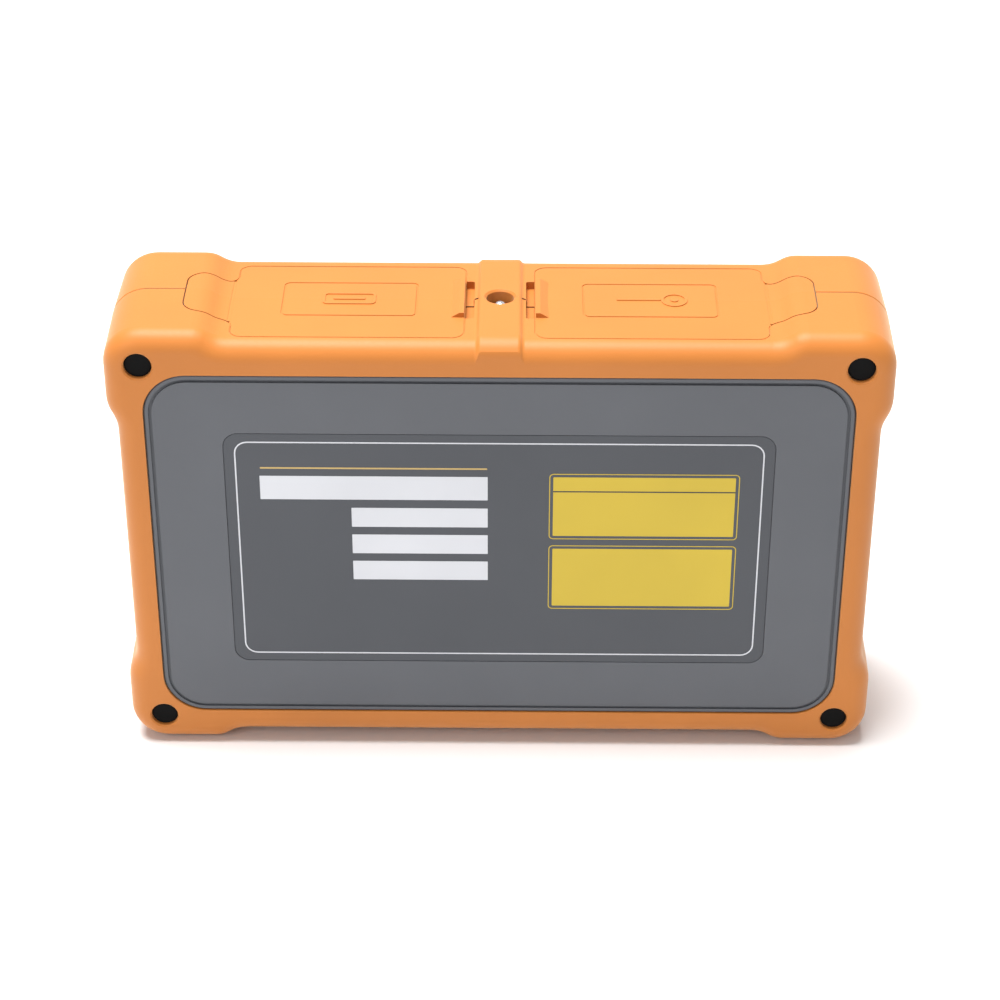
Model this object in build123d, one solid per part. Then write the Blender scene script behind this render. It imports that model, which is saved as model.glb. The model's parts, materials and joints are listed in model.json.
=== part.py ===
from build123d import *
import os
from math import radians, tan

# A handheld optical time domain reflectometer, standing on its lower long edge.
# +X is its width, +Z its height, -Y its labelled back and +Y its screen.
# The origin is the middle of its base. All lengths are millimetres.

# Front of the instrument, which sets how wide and high the housing is
glass_width = 112.0
glass_height = 72.0
glass_side_gap = 4.7
glass_end_gap = 9.8
keys_gap = 3.5
keys_side_gap = 6.2
ring_outer_radius = 16.0
rim_side = 8.8
rim_top = 10.2
rim_bottom = 9.6
panel_width = glass_side_gap + glass_width + keys_gap + 2 * ring_outer_radius + keys_side_gap
panel_height = glass_height + 2 * glass_end_gap
width = panel_width + 2 * rim_side
height = rim_bottom + panel_height + rim_top

# Housing
depth = 43.5
corner_radius = 9.0
draft = 1.0
face_fillet = 4.5

# Raised pads at the four corners
pad_rise_z = 2.4
pad_length_x = 20.0
pad_run_x = 8.0
pad_rise_x = 2.2
pad_length_z = 17.2
pad_run_z = 9.0

# Walls
side_wall = 2.6
top_wall = 4.6
rear_wall = 3.6
room_radius = 1.2
ledge_wall = 2.0
parting_chamfer = 0.3
lip_height = 2.5
lip_wall = 1.2
lip_clearance = 0.15

# Central rib on top and the torch in it
rib_half_crest = 4.0
rib_half_foot = 5.6
rib_rise = 0.8
rib_root = 1.0
torch_hole_radius = 3.1
torch_chamfer = 0.5
torch_cut_past = 1.0
torch_lens_radius = 2.5
torch_lens_below_crest = 1.6
torch_flange_radius = 2.9
torch_flange_height = 1.0
torch_holder_radius = 4.6
torch_holder_height = 4.6
torch_fit = 0.1
torch_lead_side = 0.5
torch_lead_pitch = 2.54
torch_lead_length = 3.0
torch_board_margin = 4.0
torch_ledge_overlap = 1.5

# Screws at the corners
screw_edge_x = 8.4
screw_edge_z = 8.1
screw_recess_radius = 3.15
screw_recess_chamfer = 0.35
screw_seat_y = -6.5
screw_head_radius = 2.75
screw_head_height = 2.6
screw_radius = 1.5
screw_length = 11.5
screw_clearance = 0.2
screw_socket = 2.5
hole_plug_fit = 0.05
hole_plug_sink = 1.0
hole_plug_length = 4.0
hole_plug_chamfer = 0.3
post_half = 5.4
insert_radius = 2.3
insert_height = 6.0
insert_fit = 0.05
insert_hole_spare = 2.0

# Grey panels let into both faces
panel_radius = 10.0
panel_fit = 0.1
rear_panel_thickness = 1.6
rear_panel_inset = 0.3
panel_edge_chamfer = 0.35
panel_groove_inset = 1.2
panel_groove_width = 0.7
panel_groove_depth = 0.5
front_panel_thickness = 2.0
front_panel_inset = 1.0
window_margin = 3.7

# Rating label
label_margin_x = 17.3
label_margin_top = 14.9
label_margin_bottom = 14.6
label_radius = 3.5
label_thickness = 0.3
label_recess = 0.35
label_fit = 0.15

# Rubber covers over the sockets, given for the right hand one
cap_length = 51.5
cap_rear_gap = 4.45
cap_front_gap = 5.85
cap_thickness = 2.0
cap_gap = 0.3
tongue_length = 11.0
tongue_step = 7.7
tongue_centre_y = -1.1
tongue_radius = 2.6
tongue_end_radius = 4.0
hinge_inset = 0.8
hinge_gap = 0.4
frame_margin_x = 10.5
frame_margin_y = 8.65
frame_radius = 1.5
frame_line = 0.5
frame_line_depth = 0.3
lip_tab_length = 3.0
lip_tab_rise = 1.0
lip_tab_crest = 1.0
lip_tab_root = 1.0
lip_tab_foot = 0.2
notch_length = 2.2
notch_to_rib = 0.2
notch_radius = 0.6
notch_past_lip = 0.5
notch_depth = 2.0
plug_depth = 2.5
plug_wall = 1.4
plug_clearance = 0.55
stem_from_end = 5.1
stem_radius = 2.0
barb_radius = 2.8
barb_height = 1.8
stem_clearance = 0.15

# Wells that hold the sockets under the covers
bay_margin_x = 6.2
bay_hinge_margin = 4.7
bay_margin_y = 4.5
bay_radius = 2.0
bay_wall = 1.3
bay_floor = 1.4
bay_depth = 12.0
bay_fit = 0.2
bay_flange = 2.0
bay_flange_thickness = 1.2
ledge_thickness = 1.8
socket_below_top = 7.0
socket_fit = 0.1
socket_flange = 1.2
socket_flange_thickness = 1.2

# Sockets
sc_from_bay_end = 7.3
sc_outer_x = 9.4
sc_outer_y = 12.8
sc_radius = 0.6
sc_opening_x = 7.5
sc_opening_y = 9.1
sc_opening_depth = 12.0
sc_length = 18.0
sc_sleeve_radius = 2.3
sc_sleeve_length = 6.0
sc_key_width = 2.4
sc_key_depth = 0.9
ferrule_radius = 1.255
ferrule_depth = 10.0
round_port_pitch = 12.5
round_port_from_sc = 14.0
round_port_radius = 4.0
round_port_length = 18.0
round_collar_radius = 5.0
round_collar_height = 2.0
usb_a_from_bay_end = 10.3
usb_a_width = 13.1
usb_a_height = 5.7
usb_wall = 0.3
usb_a_tongue_width = 11.1
usb_a_tongue_height = 1.84
usb_a_tongue_offset = 0.75
usb_c_from_usb_a = 19.0
usb_c_width = 8.94
usb_c_height = 3.2
usb_c_tongue_width = 6.7
usb_c_tongue_height = 0.7
usb_tongue_recess = 1.0
usb_length = 14.0
usb_board_width = 38.0
usb_board_half_depth = 8.0

# Boards
board_thickness = 1.6
main_board_side_gap = 0.2
main_board_end_gap = 6.0
main_board_to_well = 2.6
main_board_to_key_screws = 1.75
board_post_radius = 2.6
board_post_gap = 0.6
board_post_inset = 7.5
board_screw_radius = 1.2
board_screw_head_radius = 2.2
board_screw_head_height = 1.4
board_screw_length = 6.0
board_screw_fit = 0.05
board_pilot_spare = 0.6
chip_height = 1.2
chips = ((-8.0, 8.0, 14.0, 14.0), (-30.0, 6.0, 12.0, 9.0), (8.0, -12.0, 16.0, 9.0), (-55.0, 18.0, 9.0, 9.0))

# Display
glass_thickness = 1.1
glass_radius = 2.5
glass_fit = 0.15
glass_chamfer = 0.2
view_margin_x = 8.0
view_margin_z = 8.5
lcd_margin_x = 3.25
lcd_margin_z = 2.4
lcd_thickness = 2.9
lcd_foam_thickness = 0.5

# Keys
key_clearance = 0.3
key_flange = 0.4
key_flange_thickness = 0.9
key_travel = 0.8
key_proud = 0.7
key_edge_chamfer = 0.35
ring_inner_radius = 8.4
ring_half_angle = 38.0
ring_key_radius = 0.8
enter_radius = 6.2
pill_width = 13.6
pill_height = 7.4
pill_offset_x = 9.0
pill_from_panel_end = 12.8
dome_radius = 2.4
dome_sides = 8
dome_height = 0.5
mat_thickness = 0.6
key_board_margin_x = 1.5
key_board_end_gap = 6.8
key_post_radius = 2.0
key_post_inset = 0.6
light_pipe_radius = 1.0
light_pipe_fit = 0.05

# Inside
battery_side_gap = 6.4
battery_low_gap = 10.0
battery_top_gap = 11.4
battery_to_spool = 3.5
battery_thickness = 6.5
battery_radius = 3.0
battery_gap = 0.3
battery_rib = 1.4
battery_rib_height = 4.0
battery_tab_width = 12.0
battery_tab_length = 4.0
battery_tab_thickness = 0.8
spool_radius = 31.0
spool_hub_radius = 20.0
spool_height = 9.0
spool_flange = 1.0
spool_wall = 1.2
spool_side_gap = 4.9
spool_low_gap = 4.0
spool_fit = 0.1
spool_boss_height = 5.0
coil_radius = 29.5
coil_fit = 0.05
optics_width = 42.0
optics_height = 11.0
optics_thickness = 8.0
optics_centre_x = 36.0
optics_from_board_top = 17.0
optics_radius = 1.0
optics_snout_radius = 2.0
optics_snout_length = 6.0

# Values that follow from the sizes above
mid_z = height / 2
back_y = -depth / 2
front_y = depth / 2
top_z = height - pad_rise_z
crest_z = top_z + rib_rise
ceiling_z = top_z - top_wall
floor_z = pad_rise_z + side_wall
room_half_x = width / 2 - pad_rise_x - side_wall
pad_end_x = width / 2 - pad_length_x
pad_start_x = pad_end_x - pad_run_x
pad_end_z = height / 2 - pad_length_z
pad_start_z = pad_end_z - pad_run_z
screw_x = width / 2 - screw_edge_x
screw_z = height / 2 - screw_edge_z
corners = [(sx * screw_x, mid_z + sz * screw_z) for sx in (-1, 1) for sz in (-1, 1)]

panel_z = rim_bottom + panel_height / 2
rear_inner_y = back_y + rear_wall
rear_pocket = rear_panel_thickness + rear_panel_inset
front_pocket = front_panel_thickness + front_panel_inset
front_panel_face_y = front_y - front_panel_inset
front_panel_back_y = front_y - front_pocket
glass_seat_y = front_panel_face_y - glass_thickness
glass_centre_x = panel_width / 2 - glass_side_gap - glass_width / 2
lcd_width = glass_width - 2 * lcd_margin_x
lcd_height = glass_height - 2 * lcd_margin_z
label_width = panel_width - 2 * label_margin_x
label_height = panel_height - label_margin_top - label_margin_bottom
label_z = panel_z + (label_margin_bottom - label_margin_top) / 2

keys_centre_x = keys_side_gap + ring_outer_radius - panel_width / 2
pill_offset_z = panel_height / 2 - pill_from_panel_end
key_post_offset_x = ring_outer_radius - key_post_inset
key_post_offset_z = (ring_outer_radius + pill_offset_z - pill_height / 2) / 2
key_board_width = 2 * (ring_outer_radius + key_board_margin_x)
key_board_height = panel_height - 2 * key_board_end_gap
key_back_y = front_panel_back_y - key_clearance - key_flange_thickness
dome_top_y = key_back_y - key_travel - key_clearance
key_board_front_y = dome_top_y - dome_height - mat_thickness

cap_half_depth = (depth - cap_rear_gap - cap_front_gap) / 2
cap_centre_y = (cap_rear_gap - cap_front_gap) / 2
tongue_half_depth = cap_half_depth - tongue_step
lip_tab_half_depth = cap_half_depth / 2
notch_half_depth = lip_tab_half_depth + notch_past_lip
frame_half_depth = cap_half_depth - frame_margin_y
cap_inner_x = rib_half_foot + notch_to_rib + notch_length
cap_outer_x = cap_inner_x + cap_length
tongue_end_x = cap_outer_x + tongue_length
stem_x = tongue_end_x - stem_from_end
hinge_x = cap_outer_x + hinge_inset
cap_floor_z = top_z - cap_thickness
seat_z = cap_floor_z - cap_gap
bay_inner_x = cap_inner_x + bay_margin_x
bay_outer_x = cap_outer_x - bay_hinge_margin
bay_half_depth = cap_half_depth - bay_margin_y
bay_floor_z = top_z - bay_depth
bay_bottom_z = bay_floor_z - bay_floor
socket_top_z = top_z - socket_below_top
sc_x = bay_inner_x + sc_from_bay_end
round_port_xs = [sc_x + round_port_from_sc + step * round_port_pitch for step in (0, 1)]
usb_a_x = bay_inner_x + usb_a_from_bay_end
usb_c_x = usb_a_x + usb_c_from_usb_a
usb_board_z = socket_top_z - usb_length - board_thickness

torch_board_z = ceiling_z - torch_holder_height - board_thickness
torch_board_half_depth = torch_holder_radius + torch_board_margin
key_screw_end_y = key_board_front_y - board_thickness - board_screw_head_height
main_board_y = key_screw_end_y - main_board_to_key_screws - board_thickness
main_board_half_x = screw_x - post_half - main_board_side_gap
main_board_bottom_z = floor_z + main_board_end_gap
main_board_top_z = bay_bottom_z - main_board_to_well
main_board_z = (main_board_bottom_z + main_board_top_z) / 2
board_post_offset_x = glass_width / 2 - board_post_inset
board_post_offset_z = lcd_height / 2 + board_post_gap + board_post_radius
optics_centre_z = main_board_top_z - optics_from_board_top
spool_centre_x = room_half_x - spool_side_gap - spool_radius
spool_centre_z = floor_z + spool_low_gap + spool_radius
battery_low_x = battery_side_gap - room_half_x
battery_high_x = spool_centre_x - spool_radius - battery_to_spool
battery_low_z = floor_z + battery_low_gap
battery_high_z = usb_board_z - battery_top_gap


def facing(y):
    """A drawing plane seen from the front, X to the right and Z up, at the depth y."""
    return Plane(origin=(0, y, 0), x_dir=(1, 0, 0), z_dir=(0, -1, 0))


def slab(sketch, y_low, y_high):
    """A plate with a flat outline in X and Z between two depths."""
    return extrude(facing(y_high) * sketch, y_high - y_low)


def prism(sketch, z_low, z_high):
    """A plate with a flat outline in X and Y between two heights."""
    return extrude(Plane.XY.offset(z_low) * sketch, z_high - z_low)


def round_bar(radius, x, y_low, y_high, z):
    """A cylinder along Y."""
    return slab(Pos(x, z) * Circle(radius), y_low, y_high)


def upright(radius, x, y, z_low, z_high):
    """A cylinder along Z."""
    return prism(Pos(x, y) * Circle(radius), z_low, z_high)


def left_and_right(shape):
    """The shape with its mirror image on the other side."""
    return shape + mirror(shape, Plane.YZ)


def s_bend(start, end, direction):
    """Two equal arcs that step from one line to a parallel one."""
    middle = ((start[0] + end[0]) / 2, (start[1] + end[1]) / 2)
    backwards = (-direction[0], -direction[1])
    return [
        TangentArc(start, middle, tangent=direction),
        TangentArc(end, middle, tangent=backwards),
    ]


def housing_outline():
    """The widest outline, at the parting line, with a raised pad at each corner."""
    half_x, half_z = width / 2, height / 2
    low_z, low_x = half_z - pad_rise_z, half_x - pad_rise_x
    quarter = Curve() + [
        Line((0, low_z), (pad_start_x, low_z)),
        *s_bend((pad_start_x, low_z), (pad_end_x, half_z), (1, 0)),
        Line((pad_end_x, half_z), (half_x - corner_radius, half_z)),
        TangentArc(
            (half_x - corner_radius, half_z), (half_x, half_z - corner_radius), tangent=(1, 0)
        ),
        Line((half_x, half_z - corner_radius), (half_x, pad_end_z)),
        *s_bend((half_x, pad_end_z), (low_x, pad_start_z), (0, -1)),
        Line((low_x, pad_start_z), (low_x, 0)),
    ]
    upper = quarter + mirror(quarter, Plane.YZ)
    return Pos(0, mid_z) * make_face((upper + mirror(upper, Plane.XZ)).edges())


def tapered_half(outline, reach, side):
    """Half of a moulding that narrows by the draft from the parting line; side is -1 at the back."""
    half = extrude(facing(0) * outline, reach, taper=draft)
    return half if side < 0 else mirror(half, Plane.XZ)


def outer_half(side):
    """The outside of one half of the housing, as one solid."""
    block = tapered_half(housing_outline(), depth / 2, side)
    face = block.faces().sort_by(Axis.Y)[0 if side < 0 else -1]
    return fillet(face.edges(), face_fillet)


def rib(side):
    """The raised rib over one half, with curved flanks, running down over the outer edge."""
    hill = make_face(
        [
            Line((-rib_half_foot, 0), (-rib_half_foot, -rib_root)),
            Line((-rib_half_foot, -rib_root), (rib_half_foot, -rib_root)),
            Line((rib_half_foot, -rib_root), (rib_half_foot, 0)),
            *s_bend((rib_half_foot, 0), (rib_half_crest, rib_rise), (-1, 0)),
            Line((rib_half_crest, rib_rise), (-rib_half_crest, rib_rise)),
            *s_bend((-rib_half_crest, rib_rise), (-rib_half_foot, 0), (-1, 0)),
        ]
    )
    edge_z = top_z - depth / 2 * tan(radians(draft))
    path = FilletPolyline(
        (0, 0, top_z), (0, back_y, edge_z), (0, back_y, edge_z - 2 * face_fillet), radius=face_fillet
    )
    start = Plane(origin=(0, 0, top_z), x_dir=(1, 0, 0), z_dir=(0, back_y, edge_z - top_z))
    raised = sweep(start * hill, path=path)
    return raised if side < 0 else mirror(raised, Plane.XZ)


def cavity_outline():
    """The inside of the housing, cut in at each corner by the screw posts."""
    room = Pos(0, (ceiling_z + floor_z) / 2) * Rectangle(2 * room_half_x, ceiling_z - floor_z)
    for x, z in corners:
        room -= Pos(x, z) * Rectangle(2 * post_half, 2 * post_half)
    return fillet(room.vertices(), room_radius)


def panel_outline(inset):
    """The rounded outline that both grey panels share, drawn in from its edge."""
    outline = RectangleRounded(
        panel_width - 2 * inset, panel_height - 2 * inset, panel_radius - inset
    )
    return Pos(0, panel_z) * outline


def cap_outline(grow):
    """Plan of a rubber cover: a wide flap that steps in to a tongue."""
    flap = Pos((cap_inner_x + cap_outer_x) / 2, cap_centre_y) * Rectangle(
        cap_length, 2 * cap_half_depth
    )
    tongue = Pos((cap_outer_x + tongue_end_x) / 2, tongue_centre_y) * Rectangle(
        tongue_length, 2 * tongue_half_depth
    )
    plan = flap + tongue
    plan = fillet(plan.vertices().sort_by(Axis.X)[-2:], tongue_end_radius)
    inner = plan.vertices().filter_by_position(Axis.X, 0, cap_outer_x + cap_gap)
    plan = fillet(inner, tongue_radius)
    return offset(plan, grow) if grow else plan


def bay_outline(grow):
    """Plan of a socket well, inside its wall."""
    radius = bay_radius + max(grow, -bay_radius / 2)
    plan = RectangleRounded(bay_outer_x - bay_inner_x + 2 * grow, 2 * (bay_half_depth + grow), radius)
    return Pos((bay_inner_x + bay_outer_x) / 2, 0) * plan


def cap_openings():
    """What the covers, wells, stems and finger notches take out of the top of the housing."""
    above = crest_z + pad_rise_z
    cut = prism(cap_outline(cap_gap), seat_z, above)
    cut += prism(bay_outline(bay_wall + bay_fit), ceiling_z, above)
    cut += upright(stem_radius + stem_clearance, stem_x, 0, ceiling_z, above)
    notch = Pos(cap_inner_x, 0) * Rectangle(2 * notch_length, 2 * notch_half_depth)
    cut += prism(fillet(notch.vertices(), notch_radius), top_z - notch_depth, above)
    return left_and_right(cut)


def torch_opening():
    """The hole in the rib over the torch, with a broken edge."""
    bore = upright(torch_hole_radius, 0, 0, ceiling_z - torch_cut_past, crest_z + torch_cut_past)
    mouth = Pos(0, 0, crest_z - torch_chamfer / 2) * Cone(
        torch_hole_radius, torch_hole_radius + torch_chamfer, torch_chamfer
    )
    return bore + mouth


def bay_ledges(side, wall_y):
    """Ledges that hold the flanges of the socket wells up against the top wall."""
    high = ceiling_z - bay_flange_thickness
    reach = bay_half_depth + bay_wall + bay_fit
    span = bay_outer_x - bay_inner_x
    plan = Pos((bay_inner_x + bay_outer_x) / 2, side * (reach + abs(wall_y)) / 2) * Rectangle(
        span, abs(wall_y) - reach
    )
    return left_and_right(prism(plan, high - ledge_thickness, high))


def torch_ledge(side, wall_y):
    """The ledge under one edge of the torch board."""
    reach = torch_board_half_depth - torch_ledge_overlap
    plan = Pos(0, side * (reach + abs(wall_y)) / 2) * Rectangle(
        2 * torch_holder_radius, abs(wall_y) - reach
    )
    return prism(plan, torch_board_z - ledge_thickness, torch_board_z)


def housing_half(side, room_depth):
    """One half of the housing, hollowed, with the openings that both halves share."""
    outside = outer_half(side)
    seam = outside.faces().sort_by(Axis.Y)[-1 if side < 0 else 0]
    outside = chamfer(seam.edges(), parting_chamfer)
    shell = outside + (rib(side) & (Pos(0, 0, 2 * rib_rise) * outside))
    shell -= slab(cavity_outline(), min(0, side * room_depth), max(0, side * room_depth))
    shell -= cap_openings()
    shell -= torch_opening()
    return shell


def rear_shell():
    shell = housing_half(-1, -rear_inner_y)
    shell += bay_ledges(-1, rear_inner_y)
    shell += torch_ledge(-1, rear_inner_y)
    shell += battery_frame()
    shell += spool_boss()
    pocket_floor = back_y + rear_pocket
    shell -= slab(panel_outline(0), back_y, pocket_floor)
    mouth = Cone(
        screw_recess_radius,
        screw_recess_radius + screw_recess_chamfer,
        screw_recess_chamfer,
        align=(Align.CENTER, Align.CENTER, Align.MAX),
    )
    for x, z in corners:
        shell -= Plane(origin=(x, back_y, z), z_dir=(0, -1, 0)) * mouth
        shell -= round_bar(screw_recess_radius, x, back_y, screw_seat_y, z)
        shell -= round_bar(screw_radius + screw_clearance, x, screw_seat_y, 0, z)
    return shell


def battery_frame():
    """A low rib round the battery on the back wall."""
    outer = battery_outline(battery_gap + battery_rib)
    inner = battery_outline(battery_gap)
    return slab(outer - inner, rear_inner_y, rear_inner_y + battery_rib_height)


def battery_outline(grow):
    wide = battery_high_x - battery_low_x + 2 * grow
    high = battery_high_z - battery_low_z + 2 * grow
    middle = Pos((battery_low_x + battery_high_x) / 2, (battery_low_z + battery_high_z) / 2)
    return middle * Rectangle(wide, high)


def spool_boss():
    """The boss that the hub of the fibre spool fits over."""
    radius = spool_hub_radius - spool_wall - spool_fit
    high = rear_inner_y + spool_boss_height
    boss = round_bar(radius, spool_centre_x, rear_inner_y, high, spool_centre_z)
    hollow = round_bar(radius - spool_wall, spool_centre_x, rear_inner_y, high, spool_centre_z)
    return boss - hollow


def alignment_lips():
    """Thin lips on the front half that slide inside the rear half's side and bottom walls."""
    inner_x = room_half_x - lip_clearance
    inner_z = floor_z + lip_clearance
    side_lip = Pos(inner_x - lip_wall / 2, mid_z) * Rectangle(lip_wall, 2 * pad_start_z)
    bottom_lip = Pos(0, inner_z + lip_wall / 2) * Rectangle(2 * pad_start_x, lip_wall)
    root = side_wall
    lips = left_and_right(slab(side_lip, -lip_height, root))
    lips += slab(bottom_lip, -lip_height, root)
    side_root = Pos(inner_x - lip_wall / 2 + lip_clearance, mid_z) * Rectangle(
        lip_wall + 2 * lip_clearance, 2 * pad_start_z
    )
    bottom_root = Pos(0, inner_z + lip_wall / 2 - lip_clearance) * Rectangle(
        2 * pad_start_x, lip_wall + 2 * lip_clearance
    )
    lips += left_and_right(slab(side_root, parting_chamfer, root))
    lips += slab(bottom_root, parting_chamfer, root)
    return lips


def front_shell():
    inner_y = front_panel_back_y - ledge_wall
    shell = housing_half(1, inner_y)
    shell += bay_ledges(1, inner_y)
    shell += torch_ledge(1, inner_y)
    shell += alignment_lips()
    shell -= slab(panel_outline(0), front_panel_back_y, front_y)
    shell -= slab(panel_outline(window_margin), 0, front_y)
    for x, z in corners:
        shell -= round_bar(insert_radius + insert_fit, x, 0, insert_height + insert_hole_spare, z)
    return shell


def rear_panel():
    face_y = back_y + rear_panel_inset
    panel = slab(panel_outline(panel_fit), face_y, face_y + rear_panel_thickness)
    panel = chamfer(panel.faces().sort_by(Axis.Y)[0].edges(), panel_edge_chamfer)
    groove = panel_outline(panel_groove_inset)
    groove -= panel_outline(panel_groove_inset + panel_groove_width)
    panel -= slab(groove, face_y, face_y + panel_groove_depth)
    return panel - slab(label_outline(0), face_y, face_y + label_recess)


def label_outline(inset):
    outline = RectangleRounded(
        label_width - 2 * inset, label_height - 2 * inset, label_radius - inset
    )
    return Pos(0, label_z) * outline


def rating_label():
    seat_y = back_y + rear_panel_inset + label_recess
    return slab(label_outline(label_fit), seat_y - label_thickness, seat_y)


def case_screws():
    """Four socket head screws that pull the two halves together."""
    group = Part()
    head_y = screw_seat_y - screw_head_height
    for x, z in corners:
        screw = round_bar(screw_head_radius, x, head_y, screw_seat_y, z)
        screw += round_bar(screw_radius, x, screw_seat_y, screw_seat_y + screw_length, z)
        socket = Pos(x, z) * RegularPolygon(screw_socket / 2, 6, major_radius=False)
        screw -= slab(socket, head_y, head_y + screw_head_height / 2)
        group += screw
    return group


def screw_plugs():
    """Soft black plugs pushed into the recesses over the screws."""
    group = Part()
    face_y = back_y + hole_plug_sink
    for x, z in corners:
        radius = screw_recess_radius - hole_plug_fit
        plug = round_bar(radius, x, face_y, face_y + hole_plug_length, z)
        group += chamfer(plug.faces().sort_by(Axis.Y)[0].edges(), hole_plug_chamfer)
    return group


def thread_inserts():
    """Brass inserts in the posts of the front half."""
    group = Part()
    for x, z in corners:
        ring = Pos(x, z) * (Circle(insert_radius) - Circle(screw_radius + insert_fit))
        group += slab(ring, parting_chamfer, insert_height)
    return group


def glass_outline(inset):
    outline = RectangleRounded(
        glass_width - 2 * inset, glass_height - 2 * inset, glass_radius - inset
    )
    return Pos(glass_centre_x, panel_z) * outline


def view_outline():
    view = Rectangle(glass_width - 2 * view_margin_x, glass_height - 2 * view_margin_z)
    return Pos(glass_centre_x, panel_z) * view


def sector_outline(angle):
    """One key of the ring, centred on an angle."""
    far = 2 * ring_outer_radius
    side = far * tan(radians(ring_half_angle))
    wedge = make_face(Polyline((0, 0), (far, -side), (far, side), (0, 0)))
    sector = (Circle(ring_outer_radius) - Circle(ring_inner_radius)) & wedge
    return Rot(0, 0, angle) * fillet(sector.vertices(), ring_key_radius)


def key_outlines():
    """Every key's outline by name; +X is the user's left."""
    here = Pos(keys_centre_x, panel_z)
    pill = SlotOverall(pill_width, pill_height)
    keys = {"key_enter": here * Circle(enter_radius)}
    for name, angle in (("left", 0), ("up", 90), ("right", 180), ("down", 270)):
        keys["key_" + name] = here * sector_outline(angle)
    places = {"power": (1, 1), "escape": (-1, 1), "live": (1, -1), "average": (-1, -1)}
    for name, (sx, sz) in places.items():
        keys["key_" + name] = here * Pos(sx * pill_offset_x, sz * pill_offset_z) * pill
    return keys


def key_shape(outline):
    top_y = front_panel_face_y + key_proud
    key = slab(outline, key_back_y, top_y)
    key = chamfer(key.faces().sort_by(Axis.Y)[-1].edges(), key_edge_chamfer)
    flange = offset(outline, key_clearance + key_flange)
    return key + slab(flange, key_back_y, key_back_y + key_flange_thickness)


def key_dome_places():
    """The switch under each key, seen from the front."""
    ring = (ring_inner_radius + ring_outer_radius) / 2
    places = [(0, 0), (ring, 0), (-ring, 0), (0, ring), (0, -ring)]
    places += [(sx * pill_offset_x, sz * pill_offset_z) for sx in (-1, 1) for sz in (-1, 1)]
    return [(keys_centre_x + x, panel_z + z) for x, z in places]


def key_posts():
    signs = [(sx, sz) for sx in (-1, 1) for sz in (-1, 1)]
    return [
        (keys_centre_x + sx * key_post_offset_x, panel_z + sz * key_post_offset_z)
        for sx, sz in signs
    ]


def board_posts():
    signs = [(sx, sz) for sx in (-1, 1) for sz in (-1, 1)]
    return [
        (glass_centre_x + sx * board_post_offset_x, panel_z + sz * board_post_offset_z)
        for sx, sz in signs
    ]


def light_pipe_place():
    return keys_centre_x, panel_z + pill_offset_z


def front_panel():
    """The fascia, with the glass seat, the key openings and the board posts behind it."""
    panel = slab(panel_outline(panel_fit), front_panel_back_y, front_panel_face_y)
    panel = chamfer(panel.faces().sort_by(Axis.Y)[-1].edges(), panel_edge_chamfer)
    panel -= slab(glass_outline(0), glass_seat_y, front_panel_face_y)
    panel -= slab(view_outline(), front_panel_back_y, front_panel_face_y)
    for outline in key_outlines().values():
        hole = offset(outline, key_clearance)
        panel -= slab(hole, front_panel_back_y, front_panel_face_y)
    pipe_x, pipe_z = light_pipe_place()
    radius = light_pipe_radius + light_pipe_fit
    panel -= round_bar(radius, pipe_x, front_panel_back_y, front_panel_face_y, pipe_z)
    board_front_y = main_board_y + board_thickness
    posts = [(board_post_radius, board_front_y, place) for place in board_posts()]
    posts += [(key_post_radius, key_board_front_y, place) for place in key_posts()]
    pilot_radius = board_screw_radius + board_screw_fit
    pilot_depth = board_screw_length - board_thickness + board_pilot_spare
    for radius, end_y, (x, z) in posts:
        panel += round_bar(radius, x, end_y, front_panel_back_y, z)
        panel -= round_bar(pilot_radius, x, end_y, end_y + pilot_depth, z)
    return panel


def touch_glass():
    glass = slab(glass_outline(glass_fit), glass_seat_y, front_panel_face_y)
    return chamfer(glass.faces().sort_by(Axis.Y)[-1].edges(), glass_chamfer)


def lcd_outline():
    return Pos(glass_centre_x, panel_z) * Rectangle(lcd_width, lcd_height)


def lcd_foam():
    low = front_panel_back_y - lcd_foam_thickness
    return slab(lcd_outline() - view_outline(), low, front_panel_back_y)


def lcd_module():
    high = front_panel_back_y - lcd_foam_thickness
    return slab(lcd_outline(), high - lcd_thickness, high)


def key_board_outline():
    return Pos(keys_centre_x, panel_z) * Rectangle(key_board_width, key_board_height)


def keypad_mat():
    """A silicone sheet with a short dome under each key."""
    front = key_board_front_y + mat_thickness
    mat = slab(key_board_outline(), key_board_front_y, front)
    for x, z in key_posts():
        mat -= round_bar(key_post_radius + key_clearance, x, key_board_front_y, front, z)
    pipe_x, pipe_z = light_pipe_place()
    mat -= round_bar(2 * light_pipe_radius, pipe_x, key_board_front_y, front, pipe_z)
    for x, z in key_dome_places():
        mat += slab(Pos(x, z) * RegularPolygon(dome_radius, dome_sides), front, dome_top_y)
    return mat


def drilled_board(outline, low_y, places):
    board = slab(outline, low_y, low_y + board_thickness)
    for x, z in places:
        radius = board_screw_radius + board_screw_fit
        board -= round_bar(radius, x, low_y, low_y + board_thickness, z)
    return board


def key_board():
    return drilled_board(key_board_outline(), key_board_front_y - board_thickness, key_posts())


def board_screw_group(places, seat_y):
    group = Part()
    for x, z in places:
        screw = round_bar(board_screw_head_radius, x, seat_y - board_screw_head_height, seat_y, z)
        screw += round_bar(board_screw_radius, x, seat_y, seat_y + board_screw_length, z)
        group += screw
    return group


def light_pipe():
    x, z = light_pipe_place()
    low = key_board_front_y + mat_thickness
    collar_low = front_panel_back_y - key_flange_thickness
    pipe = round_bar(light_pipe_radius, x, low, front_panel_face_y, z)
    return pipe + round_bar(1.5 * light_pipe_radius, x, collar_low, front_panel_back_y, z)


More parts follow.
